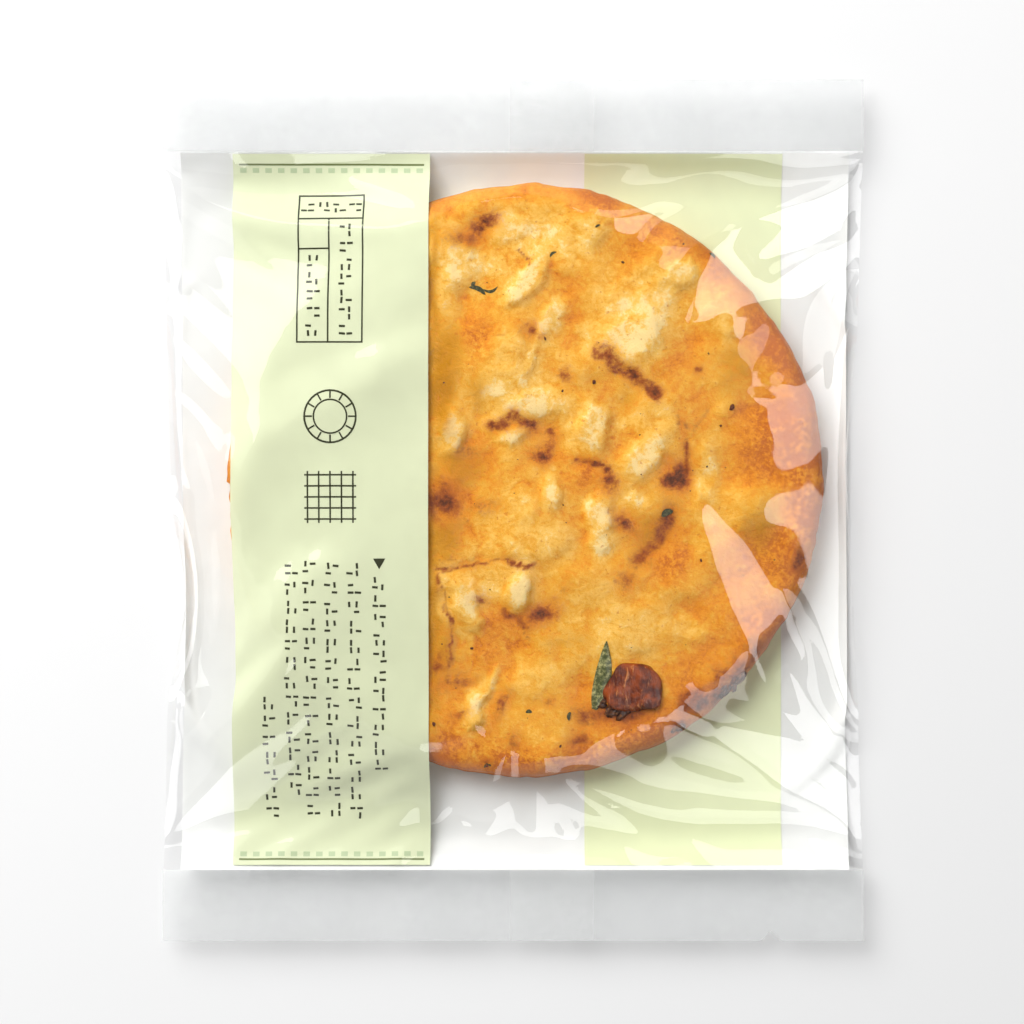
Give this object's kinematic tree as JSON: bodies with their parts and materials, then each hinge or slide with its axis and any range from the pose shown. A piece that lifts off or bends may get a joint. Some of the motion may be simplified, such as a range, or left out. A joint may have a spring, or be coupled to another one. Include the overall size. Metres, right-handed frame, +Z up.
{
  "type": "rice cracker in a clear sachet",
  "caption": "Large round grilled rice cracker sealed in a clear flat film sachet with pale green printed bands, lying on its back.",
  "frame": {"origin": "on the table, under the middle of the sachet's box", "axes": "+Z up out of the printed front, +Y towards the sachet's upper end, +X to its right"},
  "size_m": [0.13, 0.1596, 0.0118],
  "materials": {
    "sachet_film": "clear glossy packing film with a faint white haze",
    "printed_band": "pale green ink under clear film",
    "print_ink": "dark olive printing ink",
    "rice_cracker": "baked rice cracker, golden with scorched spots and a thin soy glaze",
    "herb_leaf": "dried green leaf"
  },
  "bodies": {
    "root": {"sachet": "sachet_film"}
  },
  "joints": []
}
